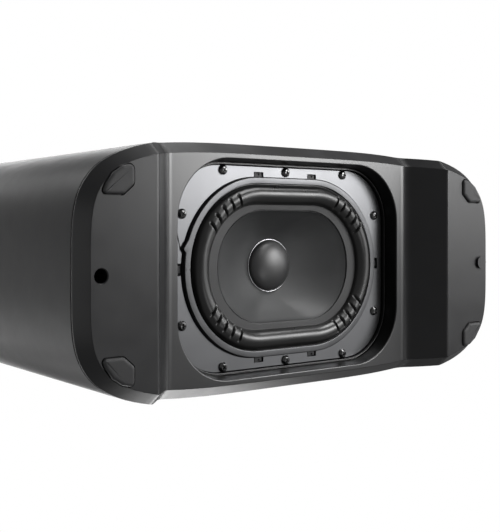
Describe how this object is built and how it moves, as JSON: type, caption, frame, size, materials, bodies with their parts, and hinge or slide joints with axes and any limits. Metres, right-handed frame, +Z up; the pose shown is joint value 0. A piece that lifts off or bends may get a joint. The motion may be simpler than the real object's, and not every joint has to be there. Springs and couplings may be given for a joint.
{
  "type": "powered subwoofer",
  "caption": "Tower subwoofer with a rounded cabinet on two foot blocks; an oblong driver faces down into the channel between them, and the amplifier panel is at the back.",
  "frame": {"origin": "middle of the footprint, on the surface that the four feet stand on", "axes": "+Z up; X across the wide side; the front faces -Y; the amplifier panel is on +Y"},
  "size_m": [0.406, 0.188, 0.41],
  "materials": {
    "shell_plastic": "fine moulded grain, satin",
    "base_plastic": "fine moulded grain, satin",
    "foot_rubber": "matte",
    "plate_steel": "semi-gloss powder coat",
    "black_steel": "glossy black finish",
    "basket_steel": "satin black paint",
    "trim_plastic": "satin",
    "surround_rubber": "satin",
    "cone_pulp": "fine fibre grain",
    "cap_film": "satin gloss",
    "spider_cloth": "resin-coated weave",
    "former_metal": "plain rolled sheet",
    "copper": "enamelled winding",
    "plated_steel": "zinc plated",
    "ferrite": "matte ceramic",
    "seal_foam": "closed-cell foam",
    "panel_plastic": "fine moulded grain",
    "circuit_board": "solder mask",
    "sink_metal": "plain extrusion",
    "part_plastic": "moulded",
    "pin_brass": "bright nickel over brass",
    "lens_clear": "clear moulded light pipe",
    "lead_vinyl": "satin vinyl"
  },
  "bodies": {
    "cabinet": {"cabinet_shell": "shell_plastic", "top_cap": "shell_plastic", "base": "base_plastic", "foot_front_left": "foot_rubber", "foot_front_right": "foot_rubber", "foot_rear_left": "foot_rubber", "foot_rear_right": "foot_rubber", "base_screws": "black_steel", "plate_screws": "black_steel", "panel_screws": "black_steel", "driver_plate": "plate_steel", "driver_gasket": "seal_foam", "trim_ring": "trim_plastic", "basket": "basket_steel", "surround": "surround_rubber", "top_plate": "plated_steel", "magnet": "ferrite", "pole_plate": "plated_steel", "driver_terminal": "pin_brass", "driver_plug": "part_plastic", "speaker_lead": "lead_vinyl", "amp_panel": "panel_plastic", "panel_gasket": "seal_foam", "amp_board": "circuit_board", "board_pillars": "plated_steel", "heat_sink": "sink_metal", "transformer": "plated_steel", "capacitors": "part_plastic", "wireless_module": "plated_steel", "lead_connector": "part_plastic", "pairing_switch": "part_plastic", "mains_inlet": "part_plastic", "inlet_pins": "pin_brass", "status_lens": "lens_clear"},
    "cone_assembly": {"cone": "cone_pulp", "dust_cap": "cap_film", "coil_former": "former_metal", "voice_coil": "copper", "spider": "spider_cloth"},
    "button": {"pairing_button": "panel_plastic"}
  },
  "joints": [
    {"name": "cone_excursion", "type": "slide", "parent": "cabinet", "child": "cone_assembly", "axis": [0, 0, 1], "range_m": [-0.006, 0.006], "stiffness_N_per_m": 2500, "deforming": ["surround", "spider"]},
    {"name": "button_press", "type": "slide", "parent": "cabinet", "child": "button", "axis": [0, -1, 0], "range_m": [0, 0.0012], "stiffness_N_per_m": 600, "springref_m": -0.0012}
  ]
}
